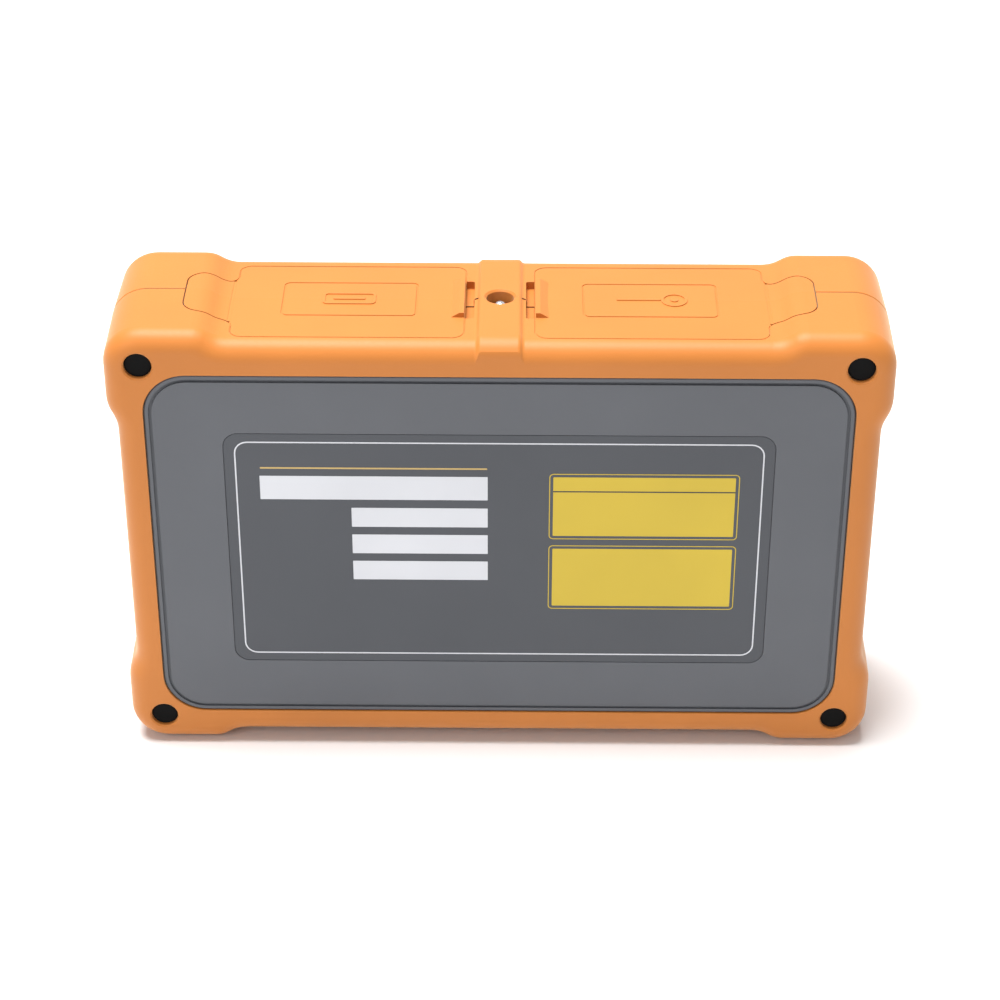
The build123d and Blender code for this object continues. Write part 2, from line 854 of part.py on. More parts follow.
def main_board():
    """The circuit board across the middle, with its larger parts on the back."""
    outline = Pos(0, main_board_z) * Rectangle(
        2 * main_board_half_x, main_board_top_z - main_board_bottom_z
    )
    board = drilled_board(outline, main_board_y, board_posts())
    for x, z, wide, high in chips:
        chip = Pos(x, main_board_z + z) * Rectangle(wide, high)
        board += slab(chip, main_board_y - chip_height, main_board_y)
    return board


def optical_module():
    """The laser and receiver block, with a fibre snout at each end."""
    low = main_board_y - optics_thickness
    block = Pos(optics_centre_x, optics_centre_z) * RectangleRounded(
        optics_width, optics_height, optics_radius
    )
    module = slab(block, low, main_board_y)
    middle_y = (low + main_board_y) / 2
    for sx in (-1, 1):
        start = Plane(
            origin=(optics_centre_x + sx * optics_width / 2, middle_y, optics_centre_z),
            z_dir=(sx, 0, 0),
        )
        module += extrude(start * Circle(optics_snout_radius), optics_snout_length)
    return module


def battery_cell():
    """A flat pouch cell with its sealed tab."""
    high = rear_inner_y + battery_thickness
    outline = battery_outline(0)
    cell = slab(fillet(outline.vertices(), battery_radius), rear_inner_y, high)
    cell = fillet(cell.faces().sort_by(Axis.Y)[-1].edges(), battery_radius / 2)
    middle_x = (battery_low_x + battery_high_x) / 2
    tab = Pos(middle_x, battery_high_z + battery_tab_length / 2) * Rectangle(
        battery_tab_width, battery_tab_length
    )
    tab_low = rear_inner_y + battery_rib_height + battery_gap
    return cell + slab(tab, tab_low, tab_low + battery_tab_thickness)


def ring_at_spool(outer, inner, low, high):
    ring = Pos(spool_centre_x, spool_centre_z) * (Circle(outer) - Circle(inner))
    return slab(ring, low, high)


def fibre_spool():
    bore = spool_hub_radius - spool_wall
    high = rear_inner_y + spool_height
    spool = ring_at_spool(spool_hub_radius, bore, rear_inner_y, high)
    spool += ring_at_spool(spool_radius, bore, rear_inner_y, rear_inner_y + spool_flange)
    return spool + ring_at_spool(spool_radius, bore, high - spool_flange, high)


def fibre_coil():
    low = rear_inner_y + spool_flange + coil_fit
    high = rear_inner_y + spool_height - spool_flange - coil_fit
    return ring_at_spool(coil_radius, spool_hub_radius + coil_fit, low, high)


def torch_holder():
    low = torch_board_z + board_thickness
    holder = upright(torch_holder_radius, 0, 0, low, ceiling_z)
    holder -= upright(torch_lens_radius + torch_fit, 0, 0, low, ceiling_z)
    recess = torch_flange_radius + torch_fit
    return holder - upright(recess, 0, 0, low, low + torch_flange_height + torch_fit)


def torch_led():
    """A clear 5 mm lamp with a domed top, a foot flange and two leads."""
    foot = torch_board_z + board_thickness
    dome_z = crest_z - torch_lens_below_crest - torch_lens_radius
    lamp = upright(torch_flange_radius, 0, 0, foot, foot + torch_flange_height)
    lamp += upright(torch_lens_radius, 0, 0, foot, dome_z)
    lamp += Pos(0, 0, dome_z) * Sphere(torch_lens_radius, arc_size1=0)
    for sy in (-1, 1):
        lead = Pos(0, sy * torch_lead_pitch / 2) * Rectangle(torch_lead_side, torch_lead_side)
        lamp += prism(lead, foot - torch_lead_length, foot)
    return lamp


def torch_board():
    plan = Rectangle(2 * torch_holder_radius, 2 * torch_board_half_depth)
    for sy in (-1, 1):
        plan -= Pos(0, sy * torch_lead_pitch / 2) * Circle(torch_lead_side)
    return prism(plan, torch_board_z, torch_board_z + board_thickness)


def socket_well(openings):
    """A cup under a cover, hung from the top wall by its flange."""
    well = prism(bay_outline(bay_wall), bay_bottom_z, seat_z)
    flange_low = ceiling_z - bay_flange_thickness
    well += prism(bay_outline(bay_wall + bay_fit + bay_flange), flange_low, ceiling_z)
    well -= prism(bay_outline(0), bay_floor_z, seat_z)
    for opening in openings:
        well -= prism(offset(opening, socket_fit), bay_bottom_z, bay_floor_z)
    return well


def socket_body(outline, length):
    """The outside of a fibre adapter, with the flange that seats under the well's floor."""
    body = prism(outline, socket_top_z - length, socket_top_z)
    flange = offset(outline, socket_flange)
    return body + prism(flange, bay_bottom_z - socket_flange_thickness, bay_bottom_z)


def sc_outline():
    return Pos(sc_x, 0) * RectangleRounded(sc_outer_x, sc_outer_y, sc_radius)


def otdr_adapter():
    """The square push-pull adapter of the test port."""
    adapter = socket_body(sc_outline(), sc_length)
    floor_z = socket_top_z - sc_opening_depth
    mouth = Pos(sc_x, 0) * Rectangle(sc_opening_x, sc_opening_y)
    mouth += Pos(sc_x, sc_opening_y / 2) * Rectangle(sc_key_width, 2 * sc_key_depth)
    adapter -= prism(mouth, floor_z, socket_top_z)
    adapter += upright(sc_sleeve_radius, sc_x, 0, floor_z, floor_z + sc_sleeve_length)
    bore_low = floor_z + sc_sleeve_length - ferrule_depth
    return adapter - upright(ferrule_radius, sc_x, 0, bore_low, socket_top_z)


def round_outline(x):
    return Pos(x, 0) * Circle(round_port_radius)


def round_adapter(x):
    """A round adapter with a bore for a bare 2.5 mm ferrule."""
    adapter = socket_body(round_outline(x), round_port_length)
    adapter += upright(
        round_collar_radius, x, 0, bay_floor_z, bay_floor_z + round_collar_height
    )
    return adapter - upright(ferrule_radius, x, 0, socket_top_z - ferrule_depth, socket_top_z)


def usb_a_outline(inset):
    return Pos(usb_a_x, 0) * Rectangle(usb_a_width - 2 * inset, usb_a_height - 2 * inset)


def usb_c_outline(inset):
    return Pos(usb_c_x, 0) * SlotOverall(usb_c_width - 2 * inset, usb_c_height - 2 * inset)


def usb_socket(outline, hollow, tongue):
    low = socket_top_z - usb_length
    socket = prism(outline, low, socket_top_z)
    socket -= prism(hollow, low + usb_tongue_recess, socket_top_z)
    return socket + prism(tongue, low, socket_top_z - usb_tongue_recess)


def usb_a_socket():
    tongue = Pos(usb_a_x, usb_a_tongue_offset) * Rectangle(
        usb_a_tongue_width, usb_a_tongue_height
    )
    return usb_socket(usb_a_outline(0), usb_a_outline(usb_wall), tongue)


def usb_c_socket():
    tongue = Pos(usb_c_x, 0) * Rectangle(usb_c_tongue_width, usb_c_tongue_height)
    return usb_socket(usb_c_outline(0), usb_c_outline(usb_wall), tongue)


def usb_board():
    """The small board under both sockets, butted against the main board."""
    centre_x = (bay_inner_x + bay_outer_x) / 2
    high_y = main_board_y
    plan = Pos(centre_x, (high_y - usb_board_half_depth) / 2) * Rectangle(
        usb_board_width, high_y + usb_board_half_depth
    )
    return prism(plan, usb_board_z, usb_board_z + board_thickness)


def cover_blank(low_z, start_x, end_x):
    """The stretch of a rubber cover between two places, under the housing's own top surface."""
    above = crest_z + pad_rise_z
    stretch = Pos((start_x + end_x) / 2, 0) * Rectangle(end_x - start_x, 3 * cap_half_depth)
    plan = cap_outline(0) & stretch
    return prism(plan, low_z, above) & (outer_half(-1) + outer_half(1))


def cover_flap():
    """The lid of a socket well: plate, pull lip, framed panel and the plug rim below."""
    flap = cover_blank(cap_floor_z, 0, hinge_x - hinge_gap)
    lip = make_face(
        Polyline(
            (cap_inner_x, top_z - lip_tab_root),
            (cap_inner_x, top_z + lip_tab_rise),
            (cap_inner_x + lip_tab_crest, top_z + lip_tab_rise),
            (cap_inner_x + lip_tab_length, top_z - lip_tab_foot),
            (cap_inner_x + lip_tab_length, top_z - lip_tab_root),
            (cap_inner_x, top_z - lip_tab_root),
        )
    )
    flap += slab(lip, -lip_tab_half_depth, lip_tab_half_depth)
    frame = RectangleRounded(cap_length - 2 * frame_margin_x, 2 * frame_half_depth, frame_radius)
    frame -= offset(frame, -frame_line)
    frame = Pos((cap_inner_x + cap_outer_x) / 2, 0) * frame
    flap -= prism(frame, top_z - frame_line_depth, top_z + frame_line_depth)
    rim = bay_outline(-plug_clearance) - bay_outline(-plug_clearance - plug_wall)
    return flap + prism(rim, cap_floor_z - plug_depth, cap_floor_z)


def cover_anchor():
    """The tongue that holds a cover, with a barbed stem through the parting line."""
    anchor = cover_blank(seat_z, hinge_x + cap_gap, tongue_end_x)
    anchor += upright(stem_radius, stem_x, 0, ceiling_z - barb_height, seat_z)
    return anchor + upright(barb_radius, stem_x, 0, ceiling_z - barb_height, ceiling_z)


def other_side(shape):
    return mirror(shape, Plane.YZ)


round_outlines = [round_outline(x) for x in round_port_xs]
shapes = {
    "rear_shell": rear_shell(),
    "front_shell": front_shell(),
    "rear_panel": rear_panel(),
    "rating_label": rating_label(),
    "case_screws": case_screws(),
    "screw_plugs": screw_plugs(),
    "thread_inserts": thread_inserts(),
    "front_panel": front_panel(),
    "touch_glass": touch_glass(),
    "lcd_foam": lcd_foam(),
    "lcd_module": lcd_module(),
    "keypad_mat": keypad_mat(),
    "key_board": key_board(),
    "key_board_screws": board_screw_group(key_posts(), key_board_front_y - board_thickness),
    "status_light_pipe": light_pipe(),
    "main_board": main_board(),
    "main_board_screws": board_screw_group(board_posts(), main_board_y),
    "optical_module": optical_module(),
    "battery_cell": battery_cell(),
    "fibre_spool": fibre_spool(),
    "fibre_coil": fibre_coil(),
    "torch_led": torch_led(),
    "torch_holder": torch_holder(),
    "torch_board": torch_board(),
    "optical_well": socket_well([sc_outline(), *round_outlines]),
    "otdr_adapter": otdr_adapter(),
    "power_meter_adapter": round_adapter(round_port_xs[0]),
    "fault_locator_adapter": round_adapter(round_port_xs[1]),
    "usb_well": other_side(socket_well([usb_a_outline(0), usb_c_outline(0)])),
    "usb_a_socket": other_side(usb_a_socket()),
    "usb_c_socket": other_side(usb_c_socket()),
    "usb_board": other_side(usb_board()),
    "optical_cover": cover_flap(),
    "optical_cover_anchor": cover_anchor(),
    "usb_cover": other_side(cover_flap()),
    "usb_cover_anchor": other_side(cover_anchor()),
}
for name, outline in key_outlines().items():
    shapes[name] = key_shape(outline)

os.makedirs("parts", exist_ok=True)
for node, shape in shapes.items():
    export_step(shape, "parts/" + node + ".step")
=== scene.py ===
import bmesh
import bpy
import json
from math import cos, pi, radians, sin, tan
from mathutils import Matrix, Vector


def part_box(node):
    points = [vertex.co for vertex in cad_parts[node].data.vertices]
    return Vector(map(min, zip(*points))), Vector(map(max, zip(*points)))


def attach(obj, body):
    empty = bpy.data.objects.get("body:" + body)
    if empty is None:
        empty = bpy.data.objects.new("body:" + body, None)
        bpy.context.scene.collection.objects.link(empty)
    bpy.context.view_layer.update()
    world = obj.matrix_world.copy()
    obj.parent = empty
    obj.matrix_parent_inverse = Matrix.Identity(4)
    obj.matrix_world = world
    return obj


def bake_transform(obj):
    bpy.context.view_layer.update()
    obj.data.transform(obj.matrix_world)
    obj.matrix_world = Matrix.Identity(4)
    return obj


# The looks of a handheld optical time domain reflectometer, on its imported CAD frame.
# Metres and degrees. -Y is the labelled back that the photograph shows, and +Y the screen.

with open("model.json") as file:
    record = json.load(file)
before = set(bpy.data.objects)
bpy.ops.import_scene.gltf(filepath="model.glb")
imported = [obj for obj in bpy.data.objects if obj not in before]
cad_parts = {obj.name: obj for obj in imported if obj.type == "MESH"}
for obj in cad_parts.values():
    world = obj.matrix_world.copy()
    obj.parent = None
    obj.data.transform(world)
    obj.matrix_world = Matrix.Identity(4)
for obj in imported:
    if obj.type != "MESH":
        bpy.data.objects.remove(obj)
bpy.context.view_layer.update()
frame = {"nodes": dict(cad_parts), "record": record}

# Camera, as in the photograph
CAMERA_PLACE = (0.0042, -0.54325, 0.3989)
CAMERA_DOWN = 32.29
CAMERA_YAW = 0.44
CAMERA_ROLL = 0.11
CAMERA_LENS = 98.24
SENSOR_WIDTH = 36.0

# A floor that is white wherever the photograph's view shows it
FLOOR_SIZE = 2.5

# Lights: name, place, size and power, all aimed at the object's middle.
# The white surround gives less light than it shows.
LIGHTS = (
    ("overhead", (-0.2, 0.1, 1.4), 0.9, 38),
    ("front_left", (-0.9, -1.2, 0.9), 0.9, 5.6),
    ("front_right", (0.9, -1.2, 0.7), 0.9, 0.8),
)
LIGHT_TARGET = (0, 0, 0.05)
SURROUND_SEEN = 1.0
SURROUND_LIGHT = 0.32

# Graphics on the rating label, from the middle of its film
INK_THICKNESS = 0.00003
BORDER_INSET_X = 0.0023
BORDER_INSET_Z = 0.0020
BORDER_LINE = 0.00032
BORDER_RADIUS = 0.0030
RULE_LEFT = -0.0538
RULE_RIGHT = -0.0027
RULE_Z = 0.02205
RULE_LINE = 0.0004
WIDE_BOX_LEFT = -0.0540
NARROW_BOX_LEFT = -0.0335
BOX_RIGHT = -0.0026
WIDE_BOX_LOW = 0.01375
WIDE_BOX_HEIGHT = 0.0062
NARROW_BOX_LOWS = (0.00645, -0.00075, -0.00795)
NARROW_BOX_HEIGHT = 0.0051
YELLOW_LEFT = 0.0122
YELLOW_RIGHT = 0.0533
YELLOW_SPANS = ((0.0043, 0.0200), (-0.01495, 0.0008))
YELLOW_DIVIDER = 0.01605
DIVIDER_LINE = 0.0003
OUTLINE_GAP = 0.0009
OUTLINE_LINE = 0.0002
OUTLINE_RADIUS = 0.0010
BOX_RADIUS = 0.0001
BLOCK_RADIUS = 0.0002
DIVIDER_RADIUS = 0.00005

# Raised pictograms on the rubber covers: a port with its tongue, and a fibre that ends at a ring
PICTOGRAM_RISE = 0.00022
PICTOGRAM_ROOT = 0.0003
PICTOGRAM_LINE = 0.0006
PORT_HALF_X = 0.0060
PORT_HALF_Y = 0.0026
PORT_RADIUS = 0.0012
PORT_TONGUE_HALF_X = 0.0036
PORT_TONGUE_HALF_Y = 0.0005
FIBRE_LEFT = -0.0078
FIBRE_RIGHT = 0.0022
FIBRE_RADIUS = 0.00024
RING_X = 0.0052
RING_RADIUS = 0.0030
CORE_RADIUS = 0.0009

# Printed symbols on the keys
KEY_INK = 0.00004
KEY_LINE = 0.0005
ARROW_SIZE = 0.0019
ENTER_RADIUS = 0.0024
POWER_RADIUS = 0.0020
POWER_OPENING = 35
POWER_BAR_LOW = 0.0006
POWER_BAR_HIGH = 0.0025
ESCAPE_TAIL = 0.0026
PULSE = ((0.0036, -0.001), (0.0012, -0.001), (0, 0.0016), (-0.0012, -0.001), (-0.0036, -0.001))
SLOPE = ((0.0036, 0.0012), (0.0010, 0.0004), (-0.0014, -0.0004), (-0.0036, -0.0014))

# Soft parts of the covers: the seal round each flap and the web at its hinge.
# The draft and the height of the top over the covers' seat are those of the solids.
DRAFT = 1.0
SEAL_GAP = 0.0003
SEAL_CLEARANCE = 0.00004
SEAL_BELOW = 0.00012
SEAL_DEPTH = 0.0006
SEAL_OVERLAP = 0.0003
FLAP_RADIUS = 0.0026
WEB_BELOW = 0.00006
WEB_THICKNESS = 0.0009
WEB_OVERLAP = 0.0003
WEB_STEPS = 12
SEAT_TO_TOP = 0.0023

# Painted shade along the joint of the housing's halves: a dark line that stands in for the shade in the
# joint's groove
SEAM_HALF = 0.00015
SEAM_PROUD = 0.00015
SEAM_ROOT = 0.0001
SAME_PLACE = 0.000005

# The torch lamp's tip, above the top of its body
TIP_RADIUS = 0.0020
TIP_RISE = 0.00155
TIP_ROOT = 0.0009
TIP_STEPS = 12

# Finishes: mottling and grain of mouldings, brush marks of metals, the glass's border
MOTTLE = 0.04
MOTTLE_SIZE = 0.03
ROUGHNESS_SPREAD = 0.05
MARK_SIZE = 0.0004
MARK_DARK = 0.9
MARK_LIGHT = 1.08
MARK_SPREAD = 0.08
GLASS_BORDER = 0.008


def linear(red, green, blue):
    """A colour of 0 to 255 screen values in the renderer's linear ones."""
    def one(value):
        value /= 255
        return value / 12.92 if value <= 0.04045 else ((value + 0.055) / 1.055) ** 2.4

    return one(red), one(green), one(blue), 1.0


def shade(colour, factor):
    """A colour made lighter or darker."""
    return tuple(min(1.0, c * factor) for c in colour[:3]) + (1.0,)


def new_material(name):
    """An empty material with its principled shader and its node tree."""
    material = bpy.data.materials.new(name)
    material.use_nodes = True
    tree = material.node_tree
    return material, tree, tree.nodes["Principled BSDF"]


def noise(tree, size, detail=2.0, stretch=(1, 1, 1)):
    """Noise of a real grain size, over the object's own coordinates."""
    coordinates = tree.nodes.new("ShaderNodeTexCoord")
    mapping = tree.nodes.new("ShaderNodeMapping")
    mapping.inputs["Scale"].default_value = stretch
    texture = tree.nodes.new("ShaderNodeTexNoise")
    texture.inputs["Scale"].default_value = 1 / size
    texture.inputs["Detail"].default_value = detail
    tree.links.new(coordinates.outputs["Object"], mapping.inputs["Vector"])
    tree.links.new(mapping.outputs["Vector"], texture.inputs["Vector"])
    return texture.outputs["Fac"]


def blend_colours(tree, factor, first, second, low=0.3, high=0.7):
    """A colour that goes from the first to the second as the factor rises."""
    ramp = tree.nodes.new("ShaderNodeMapRange")
    ramp.inputs["From Min"].default_value = low
    ramp.inputs["From Max"].default_value = high
    mix = tree.nodes.new("ShaderNodeMix")
    mix.data_type = "RGBA"
    tree.links.new(factor, ramp.inputs["Value"])
    tree.links.new(ramp.outputs["Result"], mix.inputs["Factor"])
    for socket, colour in (("A", first), ("B", second)):
        source = next(s for s in mix.inputs if s.name == socket and s.type == "RGBA")
        source.default_value = colour
    return next(s for s in mix.outputs if s.type == "RGBA")


def vary(tree, factor, low, high):
    """A number that follows a factor between two values."""
    spread = tree.nodes.new("ShaderNodeMapRange")
    spread.inputs["To Min"].default_value = low
    spread.inputs["To Max"].default_value = high
    tree.links.new(factor, spread.inputs["Value"])
    return spread.outputs["Result"]


def bump(tree, height, distance, rounding=0.0):
    """A surface relief, over edges that look rounded by a small radius."""
    node = tree.nodes.new("ShaderNodeBump")
    node.inputs["Distance"].default_value = distance
    node.inputs["Strength"].default_value = 1.0
    tree.links.new(height, node.inputs["Height"])
    if rounding:
        edge = tree.nodes.new("ShaderNodeBevel")
        edge.samples = 6
        edge.inputs["Radius"].default_value = rounding
        tree.links.new(edge.outputs["Normal"], node.inputs["Normal"])
    return node.outputs["Normal"]


def moulded(name, colour, roughness, grain=0.0005, depth=0.00001, rounding=0.0, **more):
    """A plastic or rubber with faint mottling and a moulded grain; more holds other inputs."""
    material, tree, shader = new_material(name)
    patches = noise(tree, MOTTLE_SIZE, 3.0)
    grains = noise(tree, grain, 2.0)
    tree.links.new(
        blend_colours(tree, patches, shade(colour, 1 - MOTTLE), shade(colour, 1 + MOTTLE)),
        shader.inputs["Base Color"],
    )
    dull = vary(tree, grains, roughness - ROUGHNESS_SPREAD, roughness + ROUGHNESS_SPREAD)
    tree.links.new(dull, shader.inputs["Roughness"])
    tree.links.new(bump(tree, grains, depth, rounding=rounding), shader.inputs["Normal"])
    for socket, value in more.items():
        shader.inputs[socket.replace("_", " ")].default_value = value
    return material


def metal(name, colour, roughness, brush=(1, 1, 1), depth=0.000004):
    """A metal with fine brush or plating marks."""
    material, tree, shader = new_material(name)
    marks = noise(tree, MARK_SIZE, 3.0, brush)
    shader.inputs["Metallic"].default_value = 1.0
    tree.links.new(
        blend_colours(tree, marks, shade(colour, MARK_DARK), shade(colour, MARK_LIGHT)),
        shader.inputs["Base Color"],
    )
    dull = vary(tree, marks, roughness - MARK_SPREAD, roughness + MARK_SPREAD)
    tree.links.new(dull, shader.inputs["Roughness"])
    tree.links.new(bump(tree, marks, depth), shader.inputs["Normal"])
    return material


def circuit_board():
    """Green solder mask with faint tracks under it and tinned pads."""
    material, tree, shader = new_material("circuit_board")
    coordinates = tree.nodes.new("ShaderNodeTexCoord")
    tracks = tree.nodes.new("ShaderNodeTexWave")
    tracks.bands_direction = "DIAGONAL"
    tracks.inputs["Scale"].default_value = 120
    tracks.inputs["Distortion"].default_value = 6
    tree.links.new(coordinates.outputs["Object"], tracks.inputs["Vector"])
    green = blend_colours(
        tree, tracks.outputs["Fac"], linear(18, 84, 48), linear(30, 110, 62), 0.4, 0.6
    )
    tree.links.new(green, shader.inputs["Base Color"])
    tree.links.new(bump(tree, tracks.outputs["Fac"], 0.00002), shader.inputs["Normal"])
    shader.inputs["Roughness"].default_value = 0.35
    return material


def wound_fibre():
    """Coated fibre in fine turns round the spool."""
    material, tree, shader = new_material("fibre")
    turns = noise(tree, 0.0006, 1.0, (0.2, 4, 0.2))
    tree.links.new(
        blend_colours(tree, turns, linear(196, 178, 92), linear(228, 214, 140)),
        shader.inputs["Base Color"],
    )
    tree.links.new(bump(tree, turns, 0.00008), shader.inputs["Normal"])
    shader.inputs["Roughness"].default_value = 0.25
    return material


def battery_foil():
    """Crinkled laminate round the cell."""
    material, tree, shader = new_material("battery_foil")
    creases = noise(tree, 0.008, 5.0)
    tree.links.new(
        blend_colours(tree, creases, linear(168, 170, 176), linear(205, 207, 212)),
        shader.inputs["Base Color"],
    )
    shader.inputs["Metallic"].default_value = 0.9
    tree.links.new(vary(tree, creases, 0.25, 0.45), shader.inputs["Roughness"])
    tree.links.new(bump(tree, creases, 0.00025), shader.inputs["Normal"])
    return material


def clear(name, tint, roughness):
    """A clear moulded plastic."""
    material, tree, shader = new_material(name)
    ripples = noise(tree, 0.004, 2.0)
    shader.inputs["Transmission Weight"].default_value = 1.0
    shader.inputs["IOR"].default_value = 1.49
    tree.links.new(
        blend_colours(tree, ripples, shade(tint, 0.97), shade(tint, 1.0)), shader.inputs["Base Color"]
    )
    tree.links.new(vary(tree, ripples, roughness, roughness + 0.05), shader.inputs["Roughness"])
    tree.links.new(bump(tree, ripples, 0.00002), shader.inputs["Normal"])
    return material


def touch_glass():
    """Dark glass, a shade lighter where the display lies behind it."""
    material, tree, shader = new_material("touch_glass")
    low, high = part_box("touch_glass")
    coordinates = tree.nodes.new("ShaderNodeTexCoord")
    parts = tree.nodes.new("ShaderNodeSeparateXYZ")
    tree.links.new(coordinates.outputs["Object"], parts.inputs["Vector"])
    inside = tree.nodes.new("ShaderNodeMath")
    inside.operation = "MULTIPLY"
    spans = (("X", low.x, high.x), ("Z", low.z, high.z))
    for number, (axis, start, end) in enumerate(spans):
        test = tree.nodes.new("ShaderNodeMath")
        test.operation = "COMPARE"
        test.inputs[1].default_value = (start + end) / 2
        test.inputs[2].default_value = (end - start) / 2 - GLASS_BORDER
        tree.links.new(parts.outputs[axis], test.inputs[0])
        tree.links.new(test.outputs[0], inside.inputs[number])
    smears = noise(tree, 0.02, 4.0)
    tree.links.new(
        blend_colours(tree, inside.outputs[0], linear(9, 9, 10), linear(24, 26, 30), 0, 1),
        shader.inputs["Base Color"],
    )
    tree.links.new(vary(tree, smears, 0.04, 0.10), shader.inputs["Roughness"])
    tree.links.new(bump(tree, smears, 0.000001), shader.inputs["Normal"])
    shader.inputs["Coat Weight"].default_value = 0.6
    return material


ORANGE = linear(194, 118, 51)
MATT = {"Specular_IOR_Level": 0.3}
SOFT_TOUCH = {
    **MATT,
    "rounding": 0.00012,
    "Sheen_Weight": 0.3,
    "Sheen_Roughness": 0.4,
    "Sheen_Tint": (1, 0.9, 0.6, 1),
}
materials = {
    "orange_shell": moulded("orange_shell", ORANGE, 0.48, depth=0.000012, **SOFT_TOUCH),
    "orange_rubber": moulded("orange_rubber", ORANGE, 0.52, 0.0004, 0.000015, **SOFT_TOUCH),
    "grey_panel": moulded(
        "grey_panel", linear(92, 94, 99), 0.5, 0.00045, 0.000012, rounding=0.0002, **MATT
    ),
    "label_film": moulded("label_film", linear(76, 78, 83), 0.55, 0.0003, 0.000004, **MATT),
    "white_ink": moulded("white_ink", linear(206, 207, 212), 0.5, 0.0003, 0.000003),
    "gold_ink": moulded("gold_ink", linear(190, 160, 96), 0.45, 0.0003, 0.000003),
    "yellow_ink": moulded("yellow_ink", linear(198, 170, 40), 0.5, 0.0003, 0.000003),
    "dark_ink": moulded("dark_ink", linear(40, 40, 42), 0.5, 0.0003, 0.000003),
    "black_steel": metal("black_steel", linear(46, 46, 48), 0.4),
    "steel": metal("steel", linear(176, 178, 182), 0.3),
    "brass": metal("brass", linear(200, 160, 88), 0.3, (1, 6, 1)),
    "nickel": metal("nickel", linear(196, 194, 188), 0.22),
    "metal_can": metal("metal_can", linear(180, 182, 184), 0.35, (8, 1, 1)),
    "battery_foil": battery_foil(),
    "circuit_board": circuit_board(),
    "fibre": wound_fibre(),
    "touch_glass": touch_glass(),
    "display": moulded("display", linear(22, 24, 28), 0.2, 0.001, 0.000001),
    "foam": moulded("foam", linear(30, 30, 31), 0.9, 0.0003, 0.00006),
    "silicone": moulded("silicone", linear(188, 188, 186), 0.6),
    "key_rubber": moulded("key_rubber", linear(92, 95, 101), 0.55, rounding=0.0002),
    "clear_plastic": clear("clear_plastic", linear(245, 247, 250), 0.04),
    "black_rubber": moulded(
        "black_rubber", linear(12, 12, 12), 0.8, 0.0003, 0.000006, Specular_IOR_Level=0.12
    ),
    # seam_shadow: a dark brown of painted shade, for the line in the housing's joint
    "seam_shadow": moulded("seam_shadow", linear(52, 26, 10), 0.8, 0.0003, 0.000002, **MATT),
    "black_plastic": moulded("black_plastic", linear(34, 34, 36), 0.5),
    "adapter_plastic": moulded("adapter_plastic", linear(34, 120, 70), 0.35, 0.0006, 0.000006),
    "lamp_silver": metal("lamp_silver", linear(196, 198, 204), 0.16, depth=0.00003),
}


def finish_cad_nodes():
    """Gives every CAD node the material of its slot."""
    slots = {part["node"]: part["material_slot"] for part in frame["record"]["subparts"]}
    for name, node in frame["nodes"].items():
        node.data.materials.clear()
        node.data.materials.append(materials[slots[name]])


def piece(name, vertices, faces, material, body, slot):
    """A mesh of the object that rides on one body."""
    mesh = bpy.data.meshes.new(name)
    mesh.from_pydata(vertices, [], faces)
    mesh.validate()
    mesh.materials.append(materials[material])
    made = bpy.data.objects.new(name, mesh)
    bpy.context.scene.collection.objects.link(made)
    fix_normals(mesh)
    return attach(made, body) if body else made


def fix_normals(mesh):
    """Turns every face outward."""
    work = bmesh.new()
    work.from_mesh(mesh)
    bmesh.ops.recalc_face_normals(work, faces=work.faces)
    work.to_mesh(mesh)
    work.free()


def rounded(left, right, low, high, radius, steps=6):
    """A rectangle's outline with round corners."""
    points = []
    corners = ((right, high, 0), (left, high, 90), (left, low, 180), (right, low, 270))
    for x, z, start in corners:
        centre_x = x - radius if x == right else x + radius
        centre_z = z - radius if z == high else z + radius
        for step in range(steps + 1):
            angle = radians(start + 90 * step / steps)
            points.append((centre_x + radius * cos(angle), centre_z + radius * sin(angle)))
    return points


def circle(x, z, radius, steps=48):
    """A circle's outline."""
    turns = [2 * pi * step / steps for step in range(steps)]
    return [(x + radius * cos(turn), z + radius * sin(turn)) for turn in turns]


def line(start, end, width):
    """The outline of a straight line with square ends."""
    along = Vector(end) - Vector(start)
    across = Vector((-along.y, along.x)).normalized() * width / 2
    a, b = Vector(start), Vector(end)
    return [tuple(p) for p in (a + across, a - across, b - across, b + across)]


def plate(outline, place):
    """Vertices and faces of a flat plate: place(x, z, top) puts an outline's point in space."""
    count = len(outline)
    vertices = [place(x, z, False) for x, z in outline] + [place(x, z, True) for x, z in outline]
    faces = [tuple(range(count)), tuple(range(count, 2 * count))]
    for i in range(count):
        j = (i + 1) % count
        faces.append((i, j, count + j, count + i))
    return vertices, faces


def band(outer, inner, place):
    """Vertices and faces of a flat ring between two outlines with equal numbers of points."""
    count = len(outer)
    vertices = [place(x, z, top) for top in (False, True) for ring in (outer, inner) for x, z in ring]
    faces = []
    for i in range(count):
        j = (i + 1) % count
        faces.append((i, j, count + j, count + i))
        faces.append((2 * count + i, 2 * count + j, 3 * count + j, 3 * count + i))
        faces.append((i, j, 2 * count + j, 2 * count + i))
        faces.append((count + i, count + j, 3 * count + j, 3 * count + i))
    return vertices, faces


def join(shapes):
    """Several plates and bands as the vertices and faces of one mesh."""
    vertices, faces = [], []
    for more_vertices, more_faces in shapes:
        start = len(vertices)
        vertices += more_vertices
        faces += [tuple(start + i for i in face) for face in more_faces]
    return vertices, faces


